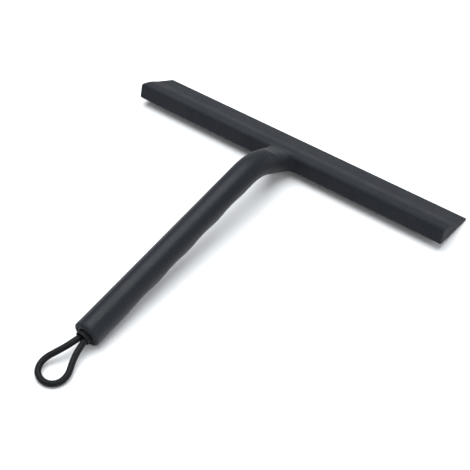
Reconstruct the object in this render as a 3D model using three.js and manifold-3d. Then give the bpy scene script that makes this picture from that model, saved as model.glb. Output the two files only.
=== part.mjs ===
// Window cleaning squeegee: a wedge-shaped silicone head with a wiping lip, a bent neck,
// a soft grip over a steel rod, and a cord loop at the handle's end.
// Millimetres, +Z up. The squeegee lies as on a table, on its lip and the end of its handle.
// X runs along the head, +Y points from the handle to the lip. The origin is on the table,
// under the middle of the squeegee without its loop.

import * as THREE from "three";
import { mergeVertices } from "three/addons/utils/BufferGeometryUtils.js";
import Module from "manifold-3d";

const wasm = await Module();
wasm.setup();

const rad = THREE.MathUtils.degToRad;

// ---- driving dimensions ---------------------------------------------------------------

const GAP = 0.3; // clearance between touching pieces

// Head: a wedge in the Y-Z plane, extruded along X.
const HEAD_LENGTH = 250.5;
const LIP_Y = 115.3; // wiping edge
const LIP_THICKNESS = 1.2;
const LIP_UNDERCUT = 0.4; // the lip's edge leans forward by this much
const BACK_FOOT = { y: 78.3, z: 6.2 }; // bottom of the back face, before rounding
const BACK_RIDGE = { y: 80.6, z: 18.3 }; // top of the back face, before rounding
const RIDGE_ROUNDING = 3;
const FOOT_ROUNDING = 1.8;
const TOP_CROWN = 0.7; // how far the body stands proud of the straight taper, above
const BOTTOM_CROWN = 0.5; // and below
const BODY_SHARE = 0.4; // share of the taper that is body; the rest is the flexible lip
const LIP_START_SHARE = 0.52;
const BACK_CORNER_RADIUS = 0.8; // corners of the head seen from above
const FRONT_CORNER_CUT = 0.3;

// Handle: a tube along a centreline that rises from the table, then bends down to the head.
const HANDLE_RADIUS = 8.8;
const BUTT_Y = -112.2; // flat end of the grip
const BUTT_ROUNDING = 1.5;
const RISE_ANGLE = rad(6.7);
const DROP_ANGLE = rad(25);
const STRAIGHT_LENGTH = 150.4;
const BEND_RADIUS = 40;
const BEND_LENGTH = BEND_RADIUS * (RISE_ANGLE + DROP_ANGLE);
const SEAM = STRAIGHT_LENGTH + BEND_LENGTH; // where the grip meets the head's neck
const NECK_FLARE_RADIUS = 9.9; // neck radius where it runs into the head
const NECK_ROOT = 4; // the neck's form runs this far into the wedge
const NECK_TOP_END = 84.5; // Y where the slanting top of the neck has run out on the wedge's top
const NECK_SLANT = 8; // under the neck, the wedge's bottom slants to the table over this length
const BACK_FACE_AT = SEAM + 23; // distance along the centreline to the head's back face

// Finger grooves on the underside of the grip.
const GROOVE_PITCH = 28.5;
const GROOVE_DEPTH = 1.2;
const GROOVES_START = 28;
const GROOVES_END = GROOVES_START + 4 * GROOVE_PITCH;

// Inside of the handle.
const ROD_RADIUS = 3;
const CORE_RADIUS = 6;
const CORE_START = 16;
const ROD_START = 10.5;
const ROD_OVERRUN = 0.2; // the round rod runs this far over the start of its tongue
const PLUG_RECESS = 0.3; // plug's face lies this far inside the grip's end
const PLUG_LENGTH = 14.7;

// Joint of rod and spine inside the head, measured along and across the centreline.
const TONGUE = { from: BACK_FACE_AT + 2.4, to: BACK_FACE_AT + 11.9, width: 6.4, low: 0.15, high: 2.45 };
const SPINE = { from: BACK_FACE_AT + 3.4, to: BACK_FACE_AT + 11.4, low: -2.55, high: -0.15, length: 236 };
const RIVET_PLACES = { rear: BACK_FACE_AT + 5.4, front: BACK_FACE_AT + 9.4 };
const RIVET_RADIUS = 1;
const RIVET_HEAD_RADIUS = 1.8;
const RIVET_HEAD_HEIGHT = 0.8;
const RIVET_OVERLAP = 0.2; // the shank runs this far into each head

// Loop and the ferrule that holds its two ends.
const FERRULE_RADIUS = 4.9;
const FERRULE_BORE = 4.4;
const FERRULE_PROUD = 2.6; // how far it stands out of the grip's end
const FERRULE_LENGTH = 11;
const FERRULE_MOUTH_DEPTH = 3.2;
const CORD_RADIUS = 1.95;

// Flat sides of each kind of round piece, and steps along the cord.
const GRIP_SIDES = 32;
const PLUG_SIDES = 24;
const ROD_SIDES = 16;
const CORD_SIDES = 8;
const CORD_STEPS = 56;

const CUT_MARGIN = 5; // cutting shapes reach this far past what they cut

// Cord centreline, from the left strand's end, round the loop, to the right strand's end.
const LOOP_ROUTE = [
  [-2.1, -114.4, 8.3],
  [-2.1, -115.4, 8.2],
  [-2.7, -118.8, 8.2],
  [-3.8, -122.7, 7.6],
  [-5.3, -126.6, 6.9],
  [-7.2, -130.4, 5.9],
  [-8.9, -134.2, 5.0],
  [-9.6, -138.1, 4.1],
  [-8.9, -141.8, 3.3],
  [-6.8, -144.8, 2.7],
  [-3.5, -146.6, 2.25],
  [0.0, -147.1, 2.05],
  [3.2, -146.3, 2.0],
  [5.9, -144.4, 2.05],
  [7.7, -141.5, 2.3],
  [8.3, -138.2, 2.85],
  [7.7, -134.6, 3.5],
  [6.1, -130.9, 4.3],
  [4.4, -127.0, 5.1],
  [3.2, -123.0, 6.1],
  [2.5, -118.9, 7.1],
  [2.1, -115.4, 8.2],
  [2.1, -114.4, 8.3],
];

// ---- handle centreline ----------------------------------------------------------------

// The grip's underside touches the table where its end rounding begins.
const BUTT_Z = HANDLE_RADIUS * Math.cos(RISE_ANGLE) - BUTT_ROUNDING * Math.sin(RISE_ANGLE) + 0.01;

// Frame of the centreline at distance s from the grip's flat end.
function axisFrame(s) {
  const straight = Math.min(s, STRAIGHT_LENGTH);
  const bend = THREE.MathUtils.clamp(s - STRAIGHT_LENGTH, 0, BEND_LENGTH);
  const neck = Math.max(s - SEAM, 0);
  const pitch = RISE_ANGLE - bend / BEND_RADIUS;
  const y = BUTT_Y + straight * Math.cos(RISE_ANGLE)
    + BEND_RADIUS * (Math.sin(RISE_ANGLE) - Math.sin(pitch)) + neck * Math.cos(DROP_ANGLE);
  const z = BUTT_Z + straight * Math.sin(RISE_ANGLE)
    + BEND_RADIUS * (Math.cos(pitch) - Math.cos(RISE_ANGLE)) - neck * Math.sin(DROP_ANGLE);
  return { y, z, pitch };
}

// Bends a geometry made along +Y onto the centreline: its Y becomes distance along it.
function bendOntoAxis(geometry) {
  const position = geometry.getAttribute("position");
  for (let i = 0; i < position.count; i += 1) {
    const { y, z, pitch } = axisFrame(position.getY(i));
    const height = position.getZ(i);
    position.setY(i, y - height * Math.sin(pitch));
    position.setZ(i, z + height * Math.cos(pitch));
  }
  return geometry;
}

// Evenly spaced distances from one place on the centreline to another.
function stationsBetween(from, to, count) {
  return Array.from({ length: count + 1 }, (_, k) => THREE.MathUtils.lerp(from, to, k / count));
}

const BEND_STATIONS = stationsBetween(STRAIGHT_LENGTH, SEAM, 6);
const GROOVE_STATIONS = stationsBetween(GROOVES_START, GROOVES_END, 32);

// ---- solids ---------------------------------------------------------------------------

// Only positions, with shared vertices merged.
function weld(geometry) {
  const bare = geometry.clone();
  bare.deleteAttribute("normal");
  bare.deleteAttribute("uv");
  return mergeVertices(bare, 1e-4);
}

function toSolid(geometry) {
  const welded = weld(geometry);
  return new wasm.Manifold(new wasm.Mesh({
    numProp: 3,
    vertProperties: new Float32Array(welded.getAttribute("position").array),
    triVerts: new Uint32Array(welded.index.array),
  }));
}

function toGeometry(solid) {
  const mesh = solid.getMesh();
  const geometry = new THREE.BufferGeometry();
  geometry.setAttribute("position", new THREE.BufferAttribute(new Float32Array(mesh.vertProperties), 3));
  geometry.setIndex(new THREE.BufferAttribute(new Uint32Array(mesh.triVerts), 1));
  geometry.computeVertexNormals();
  return geometry;
}

// Turned piece along the handle: points are [radius, distance], going round the section
// anticlockwise with the axis on the left. Runs are split at the stations they pass.
function turned(points, sides, stations = BEND_STATIONS) {
  const profile = [];
  points.forEach(([radius, distance], i) => {
    const [nextRadius, nextDistance] = points[(i + 1) % points.length];
    const run = nextDistance - distance;
    profile.push(new THREE.Vector2(radius, distance));
    stations
      .map((station) => (station - distance) / run)
      .filter((t) => t > 0.001 && t < 0.999)
      .sort((a, b) => a - b)
      .forEach((t) => profile.push(new THREE.Vector2(
        THREE.MathUtils.lerp(radius, nextRadius, t),
        distance + t * run,
      )));
  });
  profile.push(profile[0].clone());
  return new THREE.LatheGeometry(profile, sides);
}

// Quarter-circle points of a convex edge, from angle a to angle b in degrees.
function roundedEdge(radius, distance, rounding, a, b, steps = 5) {
  return Array.from({ length: steps + 1 }, (_, k) => {
    const angle = rad(THREE.MathUtils.lerp(a, b, k / steps));
    return [radius + rounding * Math.cos(angle), distance + rounding * Math.sin(angle)];
  });
}

// Box along the centreline past the back face, given by its span and heights across it.
function boxOnAxis(width, from, to, low, high) {
  const box = new THREE.BoxGeometry(width, to - from, high - low);
  box.translate(0, (from + to) / 2, (low + high) / 2);
  return bendOntoAxis(box);
}

// Round peg standing across the centreline at distance s.
function pegOnAxis(radius, s, low, high) {
  const peg = new THREE.CylinderGeometry(radius, radius, high - low, ROD_SIDES);
  peg.rotateX(Math.PI / 2);
  peg.translate(0, s, (low + high) / 2);
  return bendOntoAxis(peg);
}

// ---- head -----------------------------------------------------------------------------

// Side view of the wedge: x is Y, y is Z.
function wedgeShape() {
  const foot = new THREE.Vector2(BACK_FOOT.y, BACK_FOOT.z);
  const ridge = new THREE.Vector2(BACK_RIDGE.y, BACK_RIDGE.z);
  const lipBottom = new THREE.Vector2(LIP_Y - LIP_UNDERCUT, 0);
  const lipTop = new THREE.Vector2(LIP_Y, LIP_THICKNESS);
  const along = (a, b, distance) => b.clone().sub(a).setLength(distance).add(a);
  const proud = (a, b, share, crown) => {
    const side = b.clone().sub(a).normalize();
    return a.clone().lerp(b, share).add(new THREE.Vector2(side.y, -side.x).multiplyScalar(crown));
  };
  const bottomBody = proud(foot, lipBottom, BODY_SHARE, BOTTOM_CROWN);
  const bottomLip = proud(foot, lipBottom, LIP_START_SHARE, 0);
  const topBody = proud(ridge, lipTop, BODY_SHARE, -TOP_CROWN);
  const topLip = proud(ridge, lipTop, LIP_START_SHARE, 0);

  const shape = new THREE.Shape();
  const start = along(foot, bottomBody, FOOT_ROUNDING);
  shape.moveTo(start.x, start.y);
  shape.lineTo(bottomBody.x, bottomBody.y);
  shape.lineTo(bottomLip.x, bottomLip.y);
  shape.lineTo(lipBottom.x, lipBottom.y);
  shape.lineTo(lipTop.x, lipTop.y);
  shape.lineTo(topLip.x, topLip.y);
  shape.lineTo(topBody.x, topBody.y);
  const beforeRidge = along(ridge, topBody, RIDGE_ROUNDING);
  const afterRidge = along(ridge, foot, RIDGE_ROUNDING);
  shape.lineTo(beforeRidge.x, beforeRidge.y);
  shape.quadraticCurveTo(ridge.x, ridge.y, afterRidge.x, afterRidge.y);
  const beforeFoot = along(foot, ridge, FOOT_ROUNDING);
  shape.lineTo(beforeFoot.x, beforeFoot.y);
  shape.quadraticCurveTo(foot.x, foot.y, start.x, start.y);
  return shape;
}

// Top view of the head: a rectangle with rounded back corners and trimmed front ones.
function planShape() {
  const half = HEAD_LENGTH / 2;
  const backCentre = BACK_FOOT.y + BACK_CORNER_RADIUS;
  const shape = new THREE.Shape();
  shape.moveTo(half, LIP_Y - FRONT_CORNER_CUT);
  shape.lineTo(half - FRONT_CORNER_CUT, LIP_Y);
  shape.lineTo(half - FRONT_CORNER_CUT, LIP_Y + CUT_MARGIN);
  shape.lineTo(-half + FRONT_CORNER_CUT, LIP_Y + CUT_MARGIN);
  shape.lineTo(-half + FRONT_CORNER_CUT, LIP_Y);
  shape.lineTo(-half, LIP_Y - FRONT_CORNER_CUT);
  shape.lineTo(-half, backCentre);
  shape.absarc(-half + BACK_CORNER_RADIUS, backCentre, BACK_CORNER_RADIUS, Math.PI, 1.5 * Math.PI);
  shape.lineTo(-half + BACK_CORNER_RADIUS, BACK_FOOT.y - CUT_MARGIN);
  shape.lineTo(half - BACK_CORNER_RADIUS, BACK_FOOT.y - CUT_MARGIN);
  shape.absarc(half - BACK_CORNER_RADIUS, backCentre, BACK_CORNER_RADIUS, 1.5 * Math.PI, 2 * Math.PI);
  return shape;
}

// Extrudes a side-view shape over a width centred on the middle plane.
function extrudeAcross(shape, width) {
  const geometry = new THREE.ExtrudeGeometry(shape, { depth: width, bevelEnabled: false, curveSegments: 6 });
  geometry.translate(0, 0, -width / 2);
  const sideView = new THREE.Matrix4().makeBasis(
    new THREE.Vector3(0, 1, 0),
    new THREE.Vector3(0, 0, 1),
    new THREE.Vector3(1, 0, 0),
  );
  return geometry.applyMatrix4(sideView);
}

// Space that the neck may fill. Its top slants from the wedge's top up to the end of the grip, so
// that the neck starts as a full round; its bottom carries on the wedge's bottom to the table.
function neckEnvelope() {
  const topSlope = (BACK_RIDGE.z - LIP_THICKNESS) / (LIP_Y - BACK_RIDGE.y);
  const bottomSlope = BACK_FOOT.z / (LIP_Y - BACK_FOOT.y);
  const seam = axisFrame(SEAM);
  const seamTop = {
    y: seam.y - HANDLE_RADIUS * Math.sin(seam.pitch),
    z: seam.z + HANDLE_RADIUS * Math.cos(seam.pitch),
  };
  const back = seam.y - CUT_MARGIN;
  const front = axisFrame(BACK_FACE_AT + NECK_ROOT).y + CUT_MARGIN;
  const top = (y) => BACK_RIDGE.z + topSlope * (BACK_RIDGE.y - y);
  const bottom = (y) => BACK_FOOT.z + bottomSlope * (BACK_FOOT.y - y);
  const shape = new THREE.Shape();
  shape.moveTo(back, 0);
  shape.lineTo(BACK_FOOT.y - NECK_SLANT, 0);
  shape.lineTo(BACK_FOOT.y, bottom(BACK_FOOT.y));
  shape.lineTo(front, bottom(front));
  shape.lineTo(front, top(front));
  shape.lineTo(NECK_TOP_END, top(NECK_TOP_END));
  shape.lineTo(seamTop.y, seamTop.z + GAP);
  shape.lineTo(back, seamTop.z + CUT_MARGIN);
  return extrudeAcross(shape, 2 * (NECK_FLARE_RADIUS + CUT_MARGIN));
}

function neckStub() {
  const radiusAt = (s) => THREE.MathUtils.lerp(
    HANDLE_RADIUS,
    NECK_FLARE_RADIUS,
    THREE.MathUtils.smoothstep(s, SEAM, BACK_FACE_AT),
  );
  const end = BACK_FACE_AT + NECK_ROOT;
  const flare = stationsBetween(SEAM, end, 8).map((s) => new THREE.Vector2(radiusAt(s), s));
  const profile = [new THREE.Vector2(0, SEAM), ...flare, new THREE.Vector2(0, end)];
  return bendOntoAxis(new THREE.LatheGeometry(profile, GRIP_SIDES));
}

function squeegeeHead() {
  const height = BACK_RIDGE.z + 2 * CUT_MARGIN;
  const plan = new THREE.ExtrudeGeometry(planShape(), { depth: height, bevelEnabled: false, curveSegments: 4 });
  plan.translate(0, 0, -CUT_MARGIN);
  const bar = toSolid(extrudeAcross(wedgeShape(), HEAD_LENGTH + CUT_MARGIN)).intersect(toSolid(plan));
  const neck = toSolid(neckStub()).intersect(toSolid(neckEnvelope()));
  const boreStart = SEAM - CUT_MARGIN;
  const rodBore = turned([[0, boreStart], [ROD_RADIUS + GAP, boreStart],
    [ROD_RADIUS + GAP, TONGUE.from + GAP], [0, TONGUE.from + GAP]], ROD_SIDES);
  const spineSlot = boxOnAxis(SPINE.length + 2 * GAP, SPINE.from - GAP, SPINE.to + GAP,
    SPINE.low - GAP, SPINE.high + GAP);
  const rivetReach = GAP + RIVET_HEAD_HEIGHT + GAP;
  const tongueChamber = boxOnAxis(TONGUE.width + 2 * GAP, TONGUE.from - GAP, TONGUE.to + GAP,
    SPINE.low - rivetReach, TONGUE.high + rivetReach);
  return toGeometry(bar.add(neck)
    .subtract(toSolid(bendOntoAxis(rodBore)))
    .subtract(toSolid(spineSlot))
    .subtract(toSolid(tongueChamber)));
}

// Flat bar that stiffens the head, drilled for the two rivets.
function headSpine() {
  let spine = toSolid(boxOnAxis(SPINE.length, SPINE.from, SPINE.to, SPINE.low, SPINE.high));
  Object.values(RIVET_PLACES).forEach((s) => {
    const hole = pegOnAxis(RIVET_RADIUS + GAP, s, SPINE.low - CUT_MARGIN, SPINE.high + CUT_MARGIN);
    spine = spine.subtract(toSolid(hole));
  });
  return toGeometry(spine);
}

// Rod through the grip and the neck; its end is milled to a tongue that lies on the spine.
function coreRod() {
  const rodEnd = TONGUE.from + ROD_OVERRUN;
  const rod = turned(
    [[0, ROD_START], [ROD_RADIUS, ROD_START], [ROD_RADIUS, rodEnd], [0, rodEnd]],
    ROD_SIDES,
  );
  const tongue = boxOnAxis(TONGUE.width, TONGUE.from, TONGUE.to, TONGUE.low, TONGUE.high);
  const milledOff = boxOnAxis(4 * ROD_RADIUS, TONGUE.from, TONGUE.to, -2 * ROD_RADIUS, TONGUE.low);
  let solid = toSolid(bendOntoAxis(rod)).add(toSolid(tongue)).subtract(toSolid(milledOff));
  Object.values(RIVET_PLACES).forEach((s) => {
    const hole = pegOnAxis(RIVET_RADIUS + GAP, s, TONGUE.low - CUT_MARGIN, TONGUE.high + CUT_MARGIN);
    solid = solid.subtract(toSolid(hole));
  });
  return toGeometry(solid);
}

function spineRivet(s) {
  const low = SPINE.low - GAP;
  const high = TONGUE.high + GAP;
  const shank = toSolid(pegOnAxis(RIVET_RADIUS, s, low - RIVET_OVERLAP, high + RIVET_OVERLAP));
  const upperHead = toSolid(pegOnAxis(RIVET_HEAD_RADIUS, s, high, high + RIVET_HEAD_HEIGHT));
  const lowerHead = toSolid(pegOnAxis(RIVET_HEAD_RADIUS, s, low - RIVET_HEAD_HEIGHT, low));
  return toGeometry(shank.add(upperHead).add(lowerHead));
}

// ---- handle ---------------------------------------------------------------------------

// Depth of the finger grooves at distance s, zero outside them.
function grooveDepth(s) {
  if (s < GROOVES_START || s > GROOVES_END) {
    return 0;
  }
  const phase = (s - GROOVES_START) / GROOVE_PITCH;
  return GROOVE_DEPTH * 0.5 * (1 - Math.cos(2 * Math.PI * phase));
}

// Silicone grip: a long sleeve with a rounded end and finger grooves underneath.
function handleSleeve() {
  const bore = CORE_RADIUS + GAP;
  const shoulder = HANDLE_RADIUS - BUTT_ROUNDING;
  const sleeve = turned([
    [bore, SEAM - GAP],
    [bore, 0],
    ...roundedEdge(shoulder, BUTT_ROUNDING, BUTT_ROUNDING, -90, 0),
    [HANDLE_RADIUS, SEAM - GAP],
  ], GRIP_SIDES, [...GROOVE_STATIONS, ...BEND_STATIONS]);
  const position = sleeve.getAttribute("position");
  for (let i = 0; i < position.count; i += 1) {
    const x = position.getX(i);
    const z = position.getZ(i);
    const radius = Math.hypot(x, z);
    if (radius > shoulder && z < 0) {
      const shrink = 1 - (grooveDepth(position.getY(i)) * (-z / radius)) / radius;
      position.setX(i, x * shrink);
      position.setZ(i, z * shrink);
    }
  }
  return bendOntoAxis(sleeve);
}

// Stiff tube between the rod and the soft grip.
function handleCore() {
  const bore = ROD_RADIUS + GAP;
  return bendOntoAxis(turned([[bore, SEAM - GAP], [bore, CORE_START],
    [CORE_RADIUS, CORE_START], [CORE_RADIUS, SEAM - GAP]], ROD_SIDES));
}

// Closes the grip's end: a socket for the ferrule outside and one for the rod inside.
function endPlug() {
  const chamfer = 0.4;
  const end = PLUG_RECESS + PLUG_LENGTH;
  const ferruleSocket = FERRULE_RADIUS + GAP;
  const ferruleFloor = FERRULE_LENGTH - FERRULE_PROUD + GAP;
  const rodSocket = ROD_RADIUS + GAP;
  return bendOntoAxis(turned([
    [0, ferruleFloor],
    [ferruleSocket, ferruleFloor],
    [ferruleSocket, PLUG_RECESS],
    [CORE_RADIUS - chamfer, PLUG_RECESS],
    [CORE_RADIUS, PLUG_RECESS + chamfer],
    [CORE_RADIUS, end],
    [rodSocket, end],
    [rodSocket, ROD_START - GAP],
    [0, ROD_START - GAP],
  ], PLUG_SIDES));
}

// ---- loop -----------------------------------------------------------------------------

// Crimped barrel, cupped at its mouth where the two cord ends go in.
function loopFerrule() {
  const mouth = -FERRULE_PROUD;
  const rim = 0.25;
  return bendOntoAxis(turned([
    [0, mouth + FERRULE_MOUTH_DEPTH],
    [FERRULE_BORE, mouth + FERRULE_MOUTH_DEPTH],
    [FERRULE_BORE, mouth],
    [FERRULE_RADIUS - rim, mouth],
    [FERRULE_RADIUS, mouth + rim],
    [FERRULE_RADIUS, mouth + FERRULE_LENGTH],
    [0, mouth + FERRULE_LENGTH],
  ], PLUG_SIDES));
}

function hangLoop() {
  const route = new THREE.CatmullRomCurve3(LOOP_ROUTE.map((point) => new THREE.Vector3(...point)));
  const corners = Array.from({ length: CORD_SIDES }, (_, k) => {
    const angle = (2 * Math.PI * k) / CORD_SIDES;
    return new THREE.Vector2(CORD_RADIUS * Math.cos(angle), CORD_RADIUS * Math.sin(angle));
  });
  const section = new THREE.Shape(corners);
  return new THREE.ExtrudeGeometry(section, { steps: CORD_STEPS, extrudePath: route, bevelEnabled: false });
}

// ---- assembly -------------------------------------------------------------------------

const silicone = { color: 0x2b2e32, roughness: 0.78, metalness: 0 };
const steel = { color: 0xb4b6b8, roughness: 0.35, metalness: 1 };
const nylon = { color: 0x3a3c3f, roughness: 0.6, metalness: 0 };
const plugPlastic = { color: 0x1c1e20, roughness: 0.6, metalness: 0 };
const blackMetal = { color: 0x2a2c2e, roughness: 0.45, metalness: 0.5 };
const cordRubber = { color: 0x1a1c1d, roughness: 0.6, metalness: 0 };

function piece(name, geometry, material) {
  const mesh = new THREE.Mesh(weld(geometry), new THREE.MeshStandardMaterial(material));
  mesh.geometry.computeVertexNormals();
  mesh.name = name;
  return mesh;
}

const head = new THREE.Group();
head.add(
  piece("squeegee_head", squeegeeHead(), silicone),
  piece("head_spine", headSpine(), steel),
  piece("spine_rivet_rear", spineRivet(RIVET_PLACES.rear), steel),
  piece("spine_rivet_front", spineRivet(RIVET_PLACES.front), steel),
);

const handle = new THREE.Group();
handle.add(
  piece("core_rod", coreRod(), steel),
  piece("handle_core", handleCore(), nylon),
  piece("handle_sleeve", handleSleeve(), silicone),
  piece("end_plug", endPlug(), plugPlastic),
);

const loop = new THREE.Group();
loop.add(
  piece("loop_ferrule", loopFerrule(), blackMetal),
  piece("hang_loop", hangLoop(), cordRubber),
);

const squeegee = new THREE.Group();
squeegee.add(head, handle, loop);

export default squeegee;
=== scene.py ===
"""Looks of the window cleaning squeegee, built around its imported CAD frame.

Metres, +Z up, in the CAD frame: X runs along the head, +Y points from the handle to the wiping lip.
"""

import math

import bmesh
import bpy
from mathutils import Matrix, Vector
from mathutils.bvhtree import BVHTree


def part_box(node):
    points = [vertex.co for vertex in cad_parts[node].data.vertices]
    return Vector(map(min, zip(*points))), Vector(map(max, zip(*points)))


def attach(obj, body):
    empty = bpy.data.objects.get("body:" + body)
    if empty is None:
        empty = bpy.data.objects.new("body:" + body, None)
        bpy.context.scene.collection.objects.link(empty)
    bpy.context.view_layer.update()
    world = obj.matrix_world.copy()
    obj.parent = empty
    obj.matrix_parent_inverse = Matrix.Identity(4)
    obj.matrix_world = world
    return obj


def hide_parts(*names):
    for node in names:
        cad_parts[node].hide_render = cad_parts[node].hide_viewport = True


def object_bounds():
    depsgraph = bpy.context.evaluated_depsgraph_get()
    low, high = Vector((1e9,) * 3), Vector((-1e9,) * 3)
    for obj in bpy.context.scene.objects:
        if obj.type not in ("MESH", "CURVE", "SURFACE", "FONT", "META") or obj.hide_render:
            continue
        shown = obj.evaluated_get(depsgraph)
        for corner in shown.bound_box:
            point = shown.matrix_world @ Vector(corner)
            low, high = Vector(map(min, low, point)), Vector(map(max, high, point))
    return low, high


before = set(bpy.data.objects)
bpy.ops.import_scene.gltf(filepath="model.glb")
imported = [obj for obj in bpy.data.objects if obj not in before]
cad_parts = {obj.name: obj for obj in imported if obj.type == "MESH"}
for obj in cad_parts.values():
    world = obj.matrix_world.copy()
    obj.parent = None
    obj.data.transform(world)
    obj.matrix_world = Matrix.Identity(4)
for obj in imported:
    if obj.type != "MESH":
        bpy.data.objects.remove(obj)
cad_box = [list(corner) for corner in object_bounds()]

MM = 0.001
TINY = 1e-6

# ---- driving dimensions, as in the CAD -------------------------------------------------

HEAD_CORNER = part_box("squeegee_head")[1]
SLEEVE_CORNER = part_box("handle_sleeve")[1]

HALF_LENGTH = HEAD_CORNER.x
LIP_Y = HEAD_CORNER.y
LIP_THICKNESS = 1.2 * MM
LIP_UNDERCUT = 0.4 * MM  # how much further the lip reaches at its top than at its bottom
FOOT = Vector((78.3, 6.2)) * MM  # bottom corner of the head's back face: y, z
RIDGE = Vector((80.6, 18.3)) * MM  # its top corner
FOOT_ROUNDING = 1.8 * MM
RIDGE_ROUNDING = 3.0 * MM
LIP_ROUNDING = 0.3 * MM
END_ROUNDING = 0.2 * MM  # edges of the head's two end faces
RIDGE_END_ROUNDING = 1.2 * MM  # the same, where the ridge meets them
RIDGE_SHARE = 0.45  # share of the ridge's height from which its softer rounding sets in
RIDGE_REACH = 0.5  # the same, as a share of the way from the lip back to the ridge
TOP_CROWN = 0.6 * MM
BOTTOM_CROWN = 0.5 * MM
CROWN_SHARE = 0.56  # share of the taper that is crowned body; the rest is the flexible lip
NEAR_LIP = 0.985  # share of the taper after which the lip's rounding starts
BACK_CORNER = 0.5 * MM  # the head's corners, seen from above
FRONT_CORNER = 0.15 * MM

SLEEVE_CLEARANCE = 0.01 * MM  # keeps the grip's skin inside the CAD box
HANDLE_RADIUS = SLEEVE_CORNER.x - SLEEVE_CLEARANCE
BUTT_Y = -112.2 * MM
BUTT_ROUNDING = 1.5 * MM
BUTT_CLEARANCE = 0.01 * MM  # between the handle's end and the plane it rests on
RISE_ANGLE = math.radians(6.7)
DROP_ANGLE = math.radians(25)
STRAIGHT_LENGTH = 150.4 * MM
BEND_RADIUS = 40 * MM
BEND_LENGTH = BEND_RADIUS * (RISE_ANGLE + DROP_ANGLE)
SEAM = STRAIGHT_LENGTH + BEND_LENGTH  # distances like this one run along the centreline
BUTT_Z = (HANDLE_RADIUS * math.cos(RISE_ANGLE) - BUTT_ROUNDING * math.sin(RISE_ANGLE)
          + BUTT_CLEARANCE)
NECK_FLARE_RADIUS = 9.9 * MM
BACK_FACE_AT = SEAM + 23 * MM
NECK_END = BACK_FACE_AT + 4 * MM
SEAM_ROUNDING = 0.12 * MM
SEAM_GAP = 0.06 * MM  # between grip and neck

GROOVE_COUNT = 4
GROOVE_PITCH = 28.5 * MM
GROOVE_DEPTH = 1.2 * MM
GROOVES_START = 28 * MM
GROOVES_END = GROOVES_START + GROOVE_COUNT * GROOVE_PITCH

CORE_RADIUS = 6 * MM
ROD_RADIUS = 3 * MM
PIECE_GAP = 0.3 * MM
BORE_EDGE = 0.3 * MM  # rounding where the grip's bore opens at its end
PLUG_RECESS = 0.3 * MM
PLUG_END = PLUG_RECESS + 14.7 * MM
PLUG_EDGE = 0.25 * MM
ROD_START = 10.5 * MM
FERRULE_RADIUS = 4.9 * MM
FERRULE_BORE = 4.4 * MM
FERRULE_MOUTH = -2.6 * MM
FERRULE_LENGTH = 11 * MM
FERRULE_MOUTH_DEPTH = 3.2 * MM

CORD_RADIUS = 1.95 * MM

# Cord centreline in millimetres, from the left strand's end round the loop to the right's.
LOOP_ROUTE = [
    (-2.1, -114.4, 8.3), (-2.1, -115.4, 8.2), (-2.7, -118.8, 8.2), (-3.8, -122.7, 7.6),
    (-5.3, -126.6, 6.9), (-7.2, -130.4, 5.9), (-8.9, -134.2, 5.0), (-9.6, -138.1, 4.1),
    (-8.9, -141.8, 3.3), (-6.8, -144.8, 2.7), (-3.5, -146.55, 2.25), (0.0, -147.0, 2.05),
    (3.2, -146.3, 2.0), (5.9, -144.4, 2.05), (7.7, -141.5, 2.3), (8.3, -138.2, 2.85),
    (7.7, -134.6, 3.5), (6.1, -130.9, 4.3), (4.4, -127.0, 5.1), (3.2, -123.0, 6.1),
    (2.5, -118.9, 7.1), (2.1, -115.4, 8.2), (2.1, -114.4, 8.3),
]

NECK_TOP_ROUNDING = 4 * MM
NECK_TOP_FADE = 10 * MM  # that rounding grows from nothing at the seam over this length
NECK_TOP_END = 84.5 * MM  # y where the slanting top of the neck has run out on the wedge's top
NECK_SLANT_LENGTH = 8 * MM  # of the slant from the head's foot down to the plane it rests on
FILLET = 5.0 * MM  # how far the fillet between bar and neck reaches

# ---- fineness of the meshes ------------------------------------------------------------

VOXEL = 0.42 * MM  # grid on which the head's bar and neck are moulded into one skin
EVENING_PASSES = 12  # smoothing of the fillet
EVENING_SHARE = 0.6
EVENING_GAIN = 1.5  # how soon the smoothing reaches its full share inside the fillet
WIDE_SEGMENTS = 96  # round the grip and the neck
NARROW_SEGMENTS = 64  # round the plug and the ferrule
LONGEST_RUN = 1.5 * MM  # between two rings of a piece that follows the bend
NECK_RINGS = 40
SEAM_RINGS = 4
END_RINGS = 16  # in the rounding of each end of the head
TAPER_POINTS = 48
CORD_SPAN_POINTS = 10
CORD_BEVEL = 8

# ---- small tools -----------------------------------------------------------------------


def lerp(a, b, t):
    return a + (b - a) * t


def smoothstep(value, low, high):
    t = min(max((value - low) / (high - low), 0), 1)
    return t * t * (3 - 2 * t)


def smooth_min(a, b, reach):
    h = max(reach - abs(a - b), 0) / reach
    return min(a, b) - h * h * reach / 4


def steps(start, end, count):
    return [lerp(start, end, k / count) for k in range(count + 1)]


def make_object(name, bm):
    """Closes the bmesh into a smooth-shaded object with its faces pointing out."""
    bmesh.ops.recalc_face_normals(bm, faces=bm.faces)
    mesh = bpy.data.meshes.new(name)
    bm.to_mesh(mesh)
    bm.free()
    mesh.polygons.foreach_set("use_smooth", [True] * len(mesh.polygons))
    piece = bpy.data.objects.new(name, mesh)
    bpy.context.scene.collection.objects.link(piece)
    return piece


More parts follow.
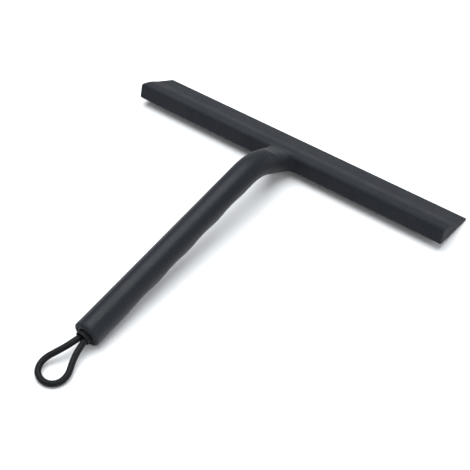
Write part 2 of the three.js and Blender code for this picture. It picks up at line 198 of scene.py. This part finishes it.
def on_axis(x, s, height):
    """Point at distance s along the handle's centreline, x and height across it."""
    straight = min(s, STRAIGHT_LENGTH)
    bend = min(max(s - STRAIGHT_LENGTH, 0), BEND_LENGTH)
    neck = max(s - SEAM, 0)
    pitch = RISE_ANGLE - bend / BEND_RADIUS
    y = (BUTT_Y + straight * math.cos(RISE_ANGLE)
         + BEND_RADIUS * (math.sin(RISE_ANGLE) - math.sin(pitch)) + neck * math.cos(DROP_ANGLE))
    z = (BUTT_Z + straight * math.sin(RISE_ANGLE)
         + BEND_RADIUS * (math.cos(pitch) - math.cos(RISE_ANGLE)) - neck * math.sin(DROP_ANGLE))
    return Vector((x, y - height * math.sin(pitch), z + height * math.cos(pitch)))


def corner_pull(depth, radius):
    """How far a rounded corner of that radius has drawn in, that deep from the end."""
    from_centre = max(radius - depth, 0)
    return radius - math.sqrt(max(radius ** 2 - from_centre ** 2, 0))


def arc(radius, s, rounding, start, end, count):
    """Points [radius, distance] of a rounded edge, from one angle to another in degrees."""
    return [
        (radius + rounding * math.cos(math.radians(a)), s + rounding * math.sin(math.radians(a)))
        for a in steps(start, end, count)
    ]


def split_long_runs(profile):
    """The closed profile again, with points added so that it can follow the bend."""
    fine = []
    for (r0, s0), (r1, s1) in zip(profile, profile[1:] + profile[:1]):
        count = max(1, math.ceil(abs(s1 - s0) / LONGEST_RUN))
        fine += [(lerp(r0, r1, k / count), lerp(s0, s1, k / count)) for k in range(count)]
    return fine


def join_rings(bm, rings):
    """Faces between each ring of vertices and the one that follows it."""
    for ring, following in zip(rings, rings[1:]):
        for k in range(len(ring)):
            n = (k + 1) % len(ring)
            bm.faces.new((ring[k], ring[n], following[n], following[k]))


def turned(name, profile, segments, shape=None):
    """Turned piece round the centreline. A profile that starts on the axis is a solid one,
    and any other is a closed ring. shape may change a point's radius."""
    solid = profile[0][0] == 0
    points = split_long_runs(profile)
    if solid:
        points = [p for p in points if p[0] > 0]
    bm = bmesh.new()
    rings = []
    for radius, s in points:
        ring = []
        for k in range(segments):
            angle = 2 * math.pi * k / segments
            r = shape(radius, s, angle) if shape else radius
            ring.append(bm.verts.new(on_axis(r * math.cos(angle), s, r * math.sin(angle))))
        rings.append(ring)
    join_rings(bm, rings if solid else rings + rings[:1])
    if solid:
        for ring, s in ((rings[0], profile[0][1]), (rings[-1], profile[-1][1])):
            centre = bm.verts.new(on_axis(0, s, 0))
            for k in range(segments):
                bm.faces.new((centre, ring[k], ring[(k + 1) % segments]))
    return make_object(name, bm)


# ---- materials -------------------------------------------------------------------------

NOISE_LOW, NOISE_HIGH = 0.3, 0.7  # noise seldom leaves this range

# Two colours of each material, that its noise moves between.
SILICONE_COLOURS = (0.0038, 0.0052, 0.0085), (0.0074, 0.0097, 0.0146)
STEEL_COLOURS = (0.46, 0.47, 0.48), (0.62, 0.63, 0.64)
COATING_COLOURS = (0.003, 0.0035, 0.004), (0.006, 0.007, 0.008)
CORD_COLOURS = (0.0038, 0.0044, 0.0052), (0.0070, 0.0080, 0.0095)
PLUG_COLOURS = (0.010, 0.011, 0.012), (0.016, 0.017, 0.018)
NYLON_COLOURS = (0.045, 0.047, 0.050), (0.058, 0.060, 0.064)
# Pale tint on convex edges: faint edge wear on the silicone, a painted highlight on the crimp
# barrel's rim.
EDGE_WEAR_AND_HIGHLIGHT_TINT = (0.30, 0.31, 0.33, 1)

HEAD_ROUGHNESS = 0.60
GRIP_ROUGHNESS = 0.42
PLUG_ROUGHNESS = 0.6
NYLON_ROUGHNESS = 0.55

# Where the silicone gets duller along y: from, to, added roughness.
HEAD_DULL_ENDS = [(66 * MM, 82 * MM, 0.14)]
GRIP_DULL_ENDS = [(25 * MM, 56 * MM, 0.18), (-110.0 * MM, -111.8 * MM, 0.28)]


class Finish:
    """A procedural material under construction, with its Principled shader."""

    def __init__(self, name, **sockets):
        self.material = bpy.data.materials.new(name)
        self.material.use_nodes = True
        self.tree = self.material.node_tree
        self.shader = self.tree.nodes["Principled BSDF"]
        for socket, value in sockets.items():
            self.shader.inputs[socket.replace("_", " ")].default_value = value
        self.place = self.tree.nodes.new("ShaderNodeTexCoord").outputs["Object"]

    def link(self, source, target):
        self.tree.links.new(source, target)

    def stretched(self, stretch):
        """Object coordinates, scaled per axis."""
        mapping = self.tree.nodes.new("ShaderNodeMapping")
        mapping.inputs["Scale"].default_value = stretch
        self.link(self.place, mapping.inputs["Vector"])
        return mapping.outputs["Vector"]

    def noise(self, size, detail, stretch=None):
        """Noise whose grains are about that size in metres."""
        node = self.tree.nodes.new("ShaderNodeTexNoise")
        node.inputs["Scale"].default_value = 1 / size
        node.inputs["Detail"].default_value = detail
        self.link(self.stretched(stretch) if stretch else self.place, node.inputs["Vector"])
        return node.outputs["Fac"]

    def edges(self, low, high):
        """Nearly 1 on convex edges and 0 on flat faces and in corners."""
        geometry = self.tree.nodes.new("ShaderNodeNewGeometry")
        return self.between(geometry.outputs["Pointiness"], low, high, 0, 1)

    def between(self, source, low, high, first, last):
        """The source's range from low to high, mapped to first and last."""
        node = self.tree.nodes.new("ShaderNodeMapRange")
        node.inputs["From Min"].default_value = low
        node.inputs["From Max"].default_value = high
        node.inputs["To Min"].default_value = first
        node.inputs["To Max"].default_value = last
        self.link(source, node.inputs["Value"])
        return node.outputs["Result"]

    def varied(self, noise, first, last):
        """A value that the noise moves between first and last."""
        return self.between(noise, NOISE_LOW, NOISE_HIGH, first, last)

    def along_y(self):
        """The object's own y coordinate."""
        node = self.tree.nodes.new("ShaderNodeSeparateXYZ")
        self.link(self.place, node.inputs["Vector"])
        return node.outputs["Y"]

    def plus(self, first, second):
        node = self.tree.nodes.new("ShaderNodeMath")
        self.link(first, node.inputs[0])
        self.link(second, node.inputs[1])
        return node.outputs["Value"]

    def colours(self, noise, dark, light):
        ramp = self.tree.nodes.new("ShaderNodeValToRGB")
        ramp.color_ramp.elements[0].color = (*dark, 1)
        ramp.color_ramp.elements[1].color = (*light, 1)
        ramp.color_ramp.elements[0].position = NOISE_LOW
        ramp.color_ramp.elements[1].position = NOISE_HIGH
        self.link(noise, ramp.inputs["Fac"])
        return ramp.outputs["Color"]

    def lighten(self, colour, factor, share):
        """The colour with that share of a light tint added where factor is high."""
        mix = self.tree.nodes.new("ShaderNodeMix")
        mix.data_type = "RGBA"
        self.link(self.between(factor, 0, 1, 0, share), mix.inputs["Factor"])
        self.link(colour, mix.inputs["A"])
        mix.inputs["B"].default_value = EDGE_WEAR_AND_HIGHLIGHT_TINT
        return mix.outputs["Result"]

    def bump(self, height, depth, below=None):
        node = self.tree.nodes.new("ShaderNodeBump")
        node.inputs["Distance"].default_value = depth
        self.link(height, node.inputs["Height"])
        if below is not None:
            self.link(below, node.inputs["Normal"])
        return node.outputs["Normal"]

    def done(self, colour, roughness, normal):
        self.link(colour, self.shader.inputs["Base Color"])
        self.link(roughness, self.shader.inputs["Roughness"])
        self.link(normal, self.shader.inputs["Normal"])
        return self.material


def silicone(name, roughness, dull_ends):
    """Matte moulded silicone: a fine grain over a faint mottle, paler along its edges. Each
    of dull_ends is (from y, to y, added roughness)."""
    finish = Finish(name, Sheen_Weight=0.02, Sheen_Roughness=0.45,
                    Specular_IOR_Level=0.3, IOR=1.42)
    patches = finish.noise(size=14 * MM, detail=3)
    mottle = finish.noise(size=1.5 * MM, detail=4)
    grain = finish.noise(size=0.4 * MM, detail=2)
    colour = finish.colours(mottle, *SILICONE_COLOURS)
    colour = finish.lighten(colour, finish.edges(low=0.5, high=0.56), share=0.03)
    normal = finish.bump(mottle, depth=0.14 * MM)
    normal = finish.bump(grain, depth=0.05 * MM, below=normal)
    dullness = finish.varied(patches, roughness - 0.04, roughness + 0.04)
    for start, end, added in dull_ends:
        dullness = finish.plus(dullness, finish.between(finish.along_y(), start, end, 0, added))
    return finish.done(colour, dullness, normal)


def rolled_steel():
    """Plain stainless steel, faintly brushed along its length."""
    finish = Finish("rolled_steel", Metallic=1.0)
    brushed = finish.noise(size=0.25 * MM, detail=3, stretch=(1, 0.05, 1))
    colour = finish.colours(brushed, *STEEL_COLOURS)
    return finish.done(colour, finish.varied(brushed, 0.26, 0.42),
                       finish.bump(brushed, depth=0.01 * MM))


def moulded_plastic(name, colours, roughness, grain_size):
    """Hard plastic with the fine grain of its mould."""
    finish = Finish(name, IOR=1.5)
    grain = finish.noise(size=grain_size, detail=2)
    colour = finish.colours(finish.noise(size=3 * MM, detail=3), *colours)
    return finish.done(colour, finish.varied(grain, roughness - 0.06, roughness + 0.06),
                       finish.bump(grain, depth=0.03 * MM))


def coated_metal():
    """Black-coated crimp barrel, satin, with a painted highlight on its rim."""
    finish = Finish("black_coated_metal", Metallic=0.0, Specular_IOR_Level=0.15, IOR=1.5)
    # Painted highlight: the barrel's convex rim is tinted pale, where it catches the light.
    rim_highlight = finish.edges(low=0.52, high=0.62)
    colour = finish.colours(finish.noise(size=0.8 * MM, detail=3), *COATING_COLOURS)
    colour = finish.lighten(colour, rim_highlight, share=0.22)
    turning = finish.noise(size=0.2 * MM, detail=2, stretch=(0.1, 1, 0.1))
    return finish.done(colour, finish.varied(turning, 0.46, 0.58),
                       finish.bump(turning, depth=0.01 * MM))


def cord_rubber():
    """Smooth round cord with a faint skin texture and a slight shine."""
    finish = Finish("cord_rubber", Specular_IOR_Level=0.14, IOR=1.48)
    skin = finish.noise(size=0.3 * MM, detail=3)
    colour = finish.colours(finish.noise(size=1.5 * MM, detail=3), *CORD_COLOURS)
    return finish.done(colour, finish.varied(skin, 0.40, 0.52),
                       finish.bump(skin, depth=0.02 * MM))


# ---- camera ----------------------------------------------------------------------------

CAMERA_AZIMUTH = math.radians(37.4)
CAMERA_ELEVATION = math.radians(45)
CAMERA_DISTANCE = 0.6455
CAMERA_TARGET = Vector((0.0134, 0.0120, 0))
CAMERA_LENS = 76.6
CAMERA_SENSOR = 36


def make_camera():
    camera = bpy.data.objects.new("camera", bpy.data.cameras.new("camera"))
    camera.data.lens = CAMERA_LENS
    camera.data.sensor_width = CAMERA_SENSOR
    back = Vector((
        math.sin(CAMERA_AZIMUTH) * math.cos(CAMERA_ELEVATION),
        -math.cos(CAMERA_AZIMUTH) * math.cos(CAMERA_ELEVATION),
        math.sin(CAMERA_ELEVATION),
    ))
    camera.location = CAMERA_TARGET + back * CAMERA_DISTANCE
    camera.rotation_euler = (math.pi / 2 - CAMERA_ELEVATION, 0, CAMERA_AZIMUTH)
    bpy.context.scene.collection.objects.link(camera)
    bpy.context.scene.camera = camera


# ---- cord ------------------------------------------------------------------------------


def catmull_rom(points, per_span):
    """Points of a smooth curve through the given ones."""
    ends = [2 * points[0] - points[1]] + points + [2 * points[-1] - points[-2]]
    line = []
    for a, b, c, d in zip(ends, ends[1:], ends[2:], ends[3:]):
        for t in steps(0, 1, per_span)[:-1]:
            line.append(0.5 * (2 * b + (c - a) * t + (2 * a - 5 * b + 4 * c - d) * t ** 2
                               + (3 * b - a - 3 * c + d) * t ** 3))
    return line + [points[-1]]


def make_hang_loop():
    route = catmull_rom([Vector(p) * MM for p in LOOP_ROUTE], CORD_SPAN_POINTS)
    curve = bpy.data.curves.new("hang_cord", "CURVE")
    curve.dimensions = "3D"
    curve.bevel_depth = CORD_RADIUS
    curve.bevel_resolution = CORD_BEVEL
    curve.use_fill_caps = True
    spline = curve.splines.new("POLY")
    spline.points.add(len(route) - 1)
    for point, place in zip(spline.points, route):
        point.co = (*place, 1)
    spline.use_smooth = True
    cord = bpy.data.objects.new("hang_cord", curve)
    bpy.context.scene.collection.objects.link(cord)
    cord.data.materials.append(cord_rubber())
    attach(cord, "loop")
    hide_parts("hang_loop")


# ---- head ------------------------------------------------------------------------------


def crown(t):
    """Share of the crown's height, from 0 to 1, at share t of the taper."""
    return 0.5 * (1 - math.cos(2 * math.pi * t / CROWN_SHARE)) if t < CROWN_SHARE else 0


def rounded(before, corner, after, reach, count=8):
    """The corner replaced by a curve that starts and ends that far from it."""
    a = corner + (before - corner).normalized() * reach
    b = corner + (after - corner).normalized() * reach
    return [a * (1 - t) ** 2 + corner * 2 * t * (1 - t) + b * t ** 2 for t in steps(0, 1, count)]


def taper(start, end, height, first, last):
    """Points of a crowned face of the wedge, between two shares of its length."""
    side = (end - start).normalized()
    proud = Vector((-side.y, side.x))
    return [start.lerp(end, t) + proud * height * crown(t)
            for t in steps(first, last, TAPER_POINTS)]


def wedge_section():
    """Side view of the bar, as (y, z) points that go round it."""
    lip_bottom = Vector((LIP_Y - LIP_UNDERCUT, 0))
    lip_top = Vector((LIP_Y, LIP_THICKNESS))
    bottom_start = FOOT_ROUNDING / (lip_bottom - FOOT).length
    top_start = RIDGE_ROUNDING / (lip_top - RIDGE).length
    bottom = taper(FOOT, lip_bottom, -BOTTOM_CROWN, bottom_start, NEAR_LIP)
    top = taper(RIDGE, lip_top, TOP_CROWN, top_start, NEAR_LIP)
    return (
        bottom
        + rounded(bottom[-1], lip_bottom, lip_top, LIP_ROUNDING, 4)
        + rounded(lip_bottom, lip_top, top[-1], LIP_ROUNDING, 4)
        + top[::-1]
        + rounded(top[0], RIDGE, FOOT, RIDGE_ROUNDING)[1:]
        + rounded(RIDGE, FOOT, bottom[0], FOOT_ROUNDING)[:-1]
    )


def outward(section):
    """The outline's outward direction at each of its points."""
    normals = []
    for before, after in zip(section[-1:] + section[:-1], section[1:] + section[:1]):
        along = (after - before).normalized()
        normals.append(Vector((along.y, -along.x)))
    return normals


def end_radius(point):
    """Rounding of an end face's edge at that point of the section: softest at the ridge."""
    depth = LIP_Y - RIDGE.x
    high = smoothstep(point.y, RIDGE_SHARE * RIDGE.y, RIDGE.y)
    far_back = smoothstep(LIP_Y - point.x, RIDGE_REACH * depth, depth)
    return lerp(END_ROUNDING, RIDGE_END_ROUNDING, high * far_back)


def make_bar():
    """The wedge, with its corners rounded seen from above and its end edges softened."""
    section = wedge_section()
    normals = outward(section)
    depths = [RIDGE_END_ROUNDING * (k / END_RINGS) ** 2 for k in range(END_RINGS + 1)]
    bm = bmesh.new()
    rings = []
    for sign in (-1, 1):
        side = []
        for depth in depths:
            x = sign * (HALF_LENGTH - depth)
            back = FOOT.x + corner_pull(depth, BACK_CORNER)
            front = LIP_Y - corner_pull(depth, FRONT_CORNER)
            ring = []
            for point, normal in zip(section, normals):
                y, z = point - normal * corner_pull(depth, end_radius(point))
                ring.append(bm.verts.new((x, min(max(y, back), front), z)))
            side.append(ring)
        rings += side if sign < 0 else side[::-1]
    join_rings(bm, rings)
    bm.faces.new(rings[0])
    bm.faces.new(rings[-1])
    bmesh.ops.triangulate(bm, faces=[f for f in bm.faces if len(f.verts) > 4])
    return make_object("bar_form", bm)


def top_plane(y):
    """Height of the straight top of the wedge, continued backwards over the neck."""
    slope = (RIDGE.y - LIP_THICKNESS) / (LIP_Y - RIDGE.x)
    return RIDGE.y + slope * (RIDGE.x - y)


def neck_top(y):
    """Height of the neck's top: it slants from the end of the grip down to the wedge's top."""
    seam_top = on_axis(0, SEAM, HANDLE_RADIUS)
    t = min((y - seam_top.y) / (NECK_TOP_END - seam_top.y), 1)
    return lerp(seam_top.z, top_plane(NECK_TOP_END), t) if t < 1 else top_plane(y)


def bottom_plane(y):
    """Height below which the neck doesn't reach: the wedge's underside, and a slant to it."""
    slope = FOOT.y / (LIP_Y - FOOT.x)
    under_wedge = FOOT.y + slope * (FOOT.x - y)
    slant = FOOT.y * (1 - (FOOT.x - y) / NECK_SLANT_LENGTH)
    return max(min(under_wedge, slant), 0)


def make_neck():
    """The neck: a flaring tube that is flush with the wedge's top and underside."""
    stations = [SEAM + SEAM_ROUNDING * (1 - math.cos(a))
                for a in steps(0, math.pi / 2, SEAM_RINGS)]
    stations += steps(stations[-1], NECK_END, NECK_RINGS)[1:]
    bm = bmesh.new()
    rings = []
    for s in stations:
        radius = lerp(HANDLE_RADIUS, NECK_FLARE_RADIUS, smoothstep(s, SEAM, BACK_FACE_AT))
        radius -= corner_pull(s - SEAM, SEAM_ROUNDING)
        reach = NECK_TOP_ROUNDING * smoothstep(s, SEAM, SEAM + NECK_TOP_FADE) + TINY
        ring = []
        for k in range(WIDE_SEGMENTS):
            angle = 2 * math.pi * k / WIDE_SEGMENTS
            place = on_axis(radius * math.cos(angle), s, radius * math.sin(angle))
            place.z = smooth_min(place.z, neck_top(place.y), reach)
            place.z = max(place.z, bottom_plane(place.y))
            ring.append(bm.verts.new(place))
        rings.append(ring)
    join_rings(bm, rings)
    bm.faces.new(rings[0])
    bm.faces.new(rings[-1])
    return make_object("neck_form", bm)


def moulded_together(name, forms):
    """One skin round overlapping closed forms."""
    bm = bmesh.new()
    for form in forms:
        bm.from_mesh(form.data)
    whole = make_object(name, bm)
    remesh = whole.modifiers.new("skin", "REMESH")
    remesh.mode = "VOXEL"
    remesh.voxel_size = VOXEL
    remesh.use_smooth_shade = True
    evaluated = whole.evaluated_get(bpy.context.evaluated_depsgraph_get())
    skin = bpy.data.meshes.new_from_object(evaluated)
    whole.modifiers.clear()
    whole.data = skin
    return whole


def surface_tree(form):
    """Search tree that gives the nearest point of the form's surface."""
    bm = bmesh.new()
    bm.from_mesh(form.data)
    tree = BVHTree.FromBMesh(bm)
    bm.free()
    return tree


def fill_junction(skin, bar, neck):
    """Moves the skin out into a fillet where bar and neck meet, then evens it."""
    bar_tree, neck_tree = surface_tree(bar), surface_tree(neck)
    bm = bmesh.new()
    bm.from_mesh(skin.data)
    bm.normal_update()
    reach = NECK_FLARE_RADIUS + 2 * FILLET
    strength = {}
    for vert in bm.verts:
        if abs(vert.co.x) > reach or vert.co.y > RIDGE.x + FILLET:
            continue
        apart = abs(bar_tree.find_nearest(vert.co)[3] - neck_tree.find_nearest(vert.co)[3])
        h = max(FILLET - apart, 0) / FILLET
        if h > 0:
            strength[vert] = h
    for vert, h in strength.items():
        place = vert.co + vert.normal * h * h * FILLET / 4
        place.z = min(place.z, max(vert.co.z, neck_top(place.y)))
        place.z = max(place.z, min(vert.co.z, bottom_plane(place.y)))
        vert.co = place
    for _ in range(EVENING_PASSES):
        evened = {}
        for vert, h in strength.items():
            around = sum((edge.other_vert(vert).co for edge in vert.link_edges), Vector())
            share = EVENING_SHARE * min(1, EVENING_GAIN * h)
            evened[vert] = vert.co.lerp(around / len(vert.link_edges), share)
        for vert, place in evened.items():
            vert.co = place
    bm.to_mesh(skin.data)
    bm.free()


def make_head():
    bar = make_bar()
    neck = make_neck()
    head = moulded_together("head_body", [bar, neck])
    fill_junction(head, bar, neck)
    bpy.data.objects.remove(bar)
    bpy.data.objects.remove(neck)
    head.data.materials.clear()
    head.data.materials.append(silicone("silicone_head", HEAD_ROUGHNESS, HEAD_DULL_ENDS))
    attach(head, "squeegee")
    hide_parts("squeegee_head")


# ---- handle ----------------------------------------------------------------------------


def grooved(radius, s, angle):
    """Radius of the grip's outside with the finger grooves underneath."""
    if radius <= HANDLE_RADIUS - BUTT_ROUNDING or not GROOVES_START < s < GROOVES_END:
        return radius
    phase = (s - GROOVES_START) / GROOVE_PITCH
    depth = GROOVE_DEPTH * 0.5 * (1 - math.cos(2 * math.pi * phase))
    return radius - depth * max(-math.sin(angle), 0)


def make_sleeve():
    bore = CORE_RADIUS + PIECE_GAP
    shoulder = HANDLE_RADIUS - BUTT_ROUNDING
    end = SEAM - SEAM_GAP
    profile = (
        [(bore, end), (bore, BORE_EDGE)]
        + arc(bore + BORE_EDGE, BORE_EDGE, BORE_EDGE, 180, 270, 4)[1:]
        + arc(shoulder, BUTT_ROUNDING, BUTT_ROUNDING, -90, 0, 12)
        + [(HANDLE_RADIUS, end - SEAM_ROUNDING)]
        + arc(HANDLE_RADIUS - SEAM_ROUNDING, end - SEAM_ROUNDING, SEAM_ROUNDING, 0, 90, 5)[1:]
    )
    sleeve = turned("grip_sleeve", profile, WIDE_SEGMENTS, shape=grooved)
    sleeve.data.materials.append(silicone("silicone_grip", GRIP_ROUGHNESS, GRIP_DULL_ENDS))
    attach(sleeve, "squeegee")
    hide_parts("handle_sleeve")


def make_plug():
    socket = FERRULE_RADIUS + PIECE_GAP
    floor = FERRULE_MOUTH + FERRULE_LENGTH + PIECE_GAP
    rod_socket = ROD_RADIUS + PIECE_GAP
    edge_at = PLUG_RECESS + PLUG_EDGE
    profile = (
        [(0, floor), (socket, floor)]
        + arc(socket + PLUG_EDGE, edge_at, PLUG_EDGE, 180, 270, 4)
        + arc(CORE_RADIUS - PLUG_EDGE, edge_at, PLUG_EDGE, 270, 360, 4)
        + [(CORE_RADIUS, PLUG_END), (rod_socket, PLUG_END), (rod_socket, ROD_START - PIECE_GAP),
           (0, ROD_START - PIECE_GAP)]
    )
    plug = turned("handle_end_cap", profile, NARROW_SEGMENTS)
    plug.data.materials.append(moulded_plastic(
        "plug_plastic", PLUG_COLOURS, PLUG_ROUGHNESS, grain_size=0.4 * MM))
    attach(plug, "squeegee")
    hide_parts("end_plug")


def make_ferrule():
    rim = (FERRULE_RADIUS - FERRULE_BORE) / 2
    bore_floor = FERRULE_MOUTH + FERRULE_MOUTH_DEPTH
    tail = FERRULE_MOUTH + FERRULE_LENGTH
    profile = (
        [(0, bore_floor), (FERRULE_BORE, bore_floor)]
        + arc(FERRULE_BORE + rim, FERRULE_MOUTH + rim, rim, 180, 360, 8)
        + [(FERRULE_RADIUS, tail - rim), (FERRULE_RADIUS - rim, tail), (0, tail)]
    )
    ferrule = turned("crimp_ferrule", profile, NARROW_SEGMENTS)
    ferrule.data.materials.append(coated_metal())
    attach(ferrule, "squeegee")
    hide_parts("loop_ferrule")


def finish_inner_pieces():
    """Materials for the CAD's own pieces inside the silicone, which stay as they are."""
    steel = rolled_steel()
    nylon = moulded_plastic("core_nylon", NYLON_COLOURS, NYLON_ROUGHNESS, grain_size=0.5 * MM)
    for node in ("head_spine", "spine_rivet_rear", "spine_rivet_front", "core_rod", "handle_core"):
        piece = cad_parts[node]
        piece.data.materials.clear()
        piece.data.materials.append(nylon if node == "handle_core" else steel)


# ---- stage -----------------------------------------------------------------------------

FLOOR_HALF = 6
FLOOR_CELLS = 8
FLOOR_GAP = 0.05 * MM  # below the object, so that the two don't share a plane
FLOOR_COLOUR = (0.93, 0.93, 0.935, 1)
FLOOR_ROUGHNESS = 0.9
FLOOR_SPECULAR = 0.1

LIGHT_COLOUR = (0.95, 0.98, 1)
WORLD_STRENGTH = 0.54
# name, place, diameter, watts; both shine at the middle of the frame
LIGHTS = [
    ("overhead_softbox", (-0.2, 0.2, 1.4), 1.7, 29),
    ("side_fill", (1.3, -0.1, 0.6), 0.9, 4),
]


def make_floor():
    """Pale floor, seen through from below so that the underside can be looked at."""
    bm = bmesh.new()
    bmesh.ops.create_grid(bm, x_segments=FLOOR_CELLS, y_segments=FLOOR_CELLS, size=FLOOR_HALF)
    floor = make_object("floor", bm)
    floor.location.z = cad_box[0][2] - FLOOR_GAP
    material = bpy.data.materials.new("pale_floor")
    material.use_nodes = True
    tree = material.node_tree
    shader = tree.nodes["Principled BSDF"]
    shader.inputs["Base Color"].default_value = FLOOR_COLOUR
    shader.inputs["Roughness"].default_value = FLOOR_ROUGHNESS
    shader.inputs["Specular IOR Level"].default_value = FLOOR_SPECULAR
    side = tree.nodes.new("ShaderNodeNewGeometry")
    clear = tree.nodes.new("ShaderNodeBsdfTransparent")
    mix = tree.nodes.new("ShaderNodeMixShader")
    tree.links.new(side.outputs["Backfacing"], mix.inputs["Fac"])
    tree.links.new(shader.outputs["BSDF"], mix.inputs[1])
    tree.links.new(clear.outputs["BSDF"], mix.inputs[2])
    tree.links.new(mix.outputs["Shader"], tree.nodes["Material Output"].inputs["Surface"])
    floor.data.materials.append(material)


def make_lights():
    world = bpy.data.worlds.new("studio")
    bpy.context.scene.world = world
    world.use_nodes = True
    background = world.node_tree.nodes["Background"]
    background.inputs["Color"].default_value = (*LIGHT_COLOUR, 1)
    background.inputs["Strength"].default_value = WORLD_STRENGTH
    for name, place, diameter, watts in LIGHTS:
        light = bpy.data.lights.new(name, "AREA")
        light.shape = "DISK"
        light.size = diameter
        light.energy = watts
        light.color = LIGHT_COLOUR
        lamp = bpy.data.objects.new(name, light)
        lamp.location = place
        lamp.rotation_euler = (-Vector(place)).to_track_quat("-Z", "Y").to_euler()
        bpy.context.scene.collection.objects.link(lamp)
    bpy.context.scene.view_settings.view_transform = "Standard"


make_camera()
make_hang_loop()
make_head()
make_sleeve()
make_plug()
make_ferrule()
finish_inner_pieces()
make_floor()
make_lights()
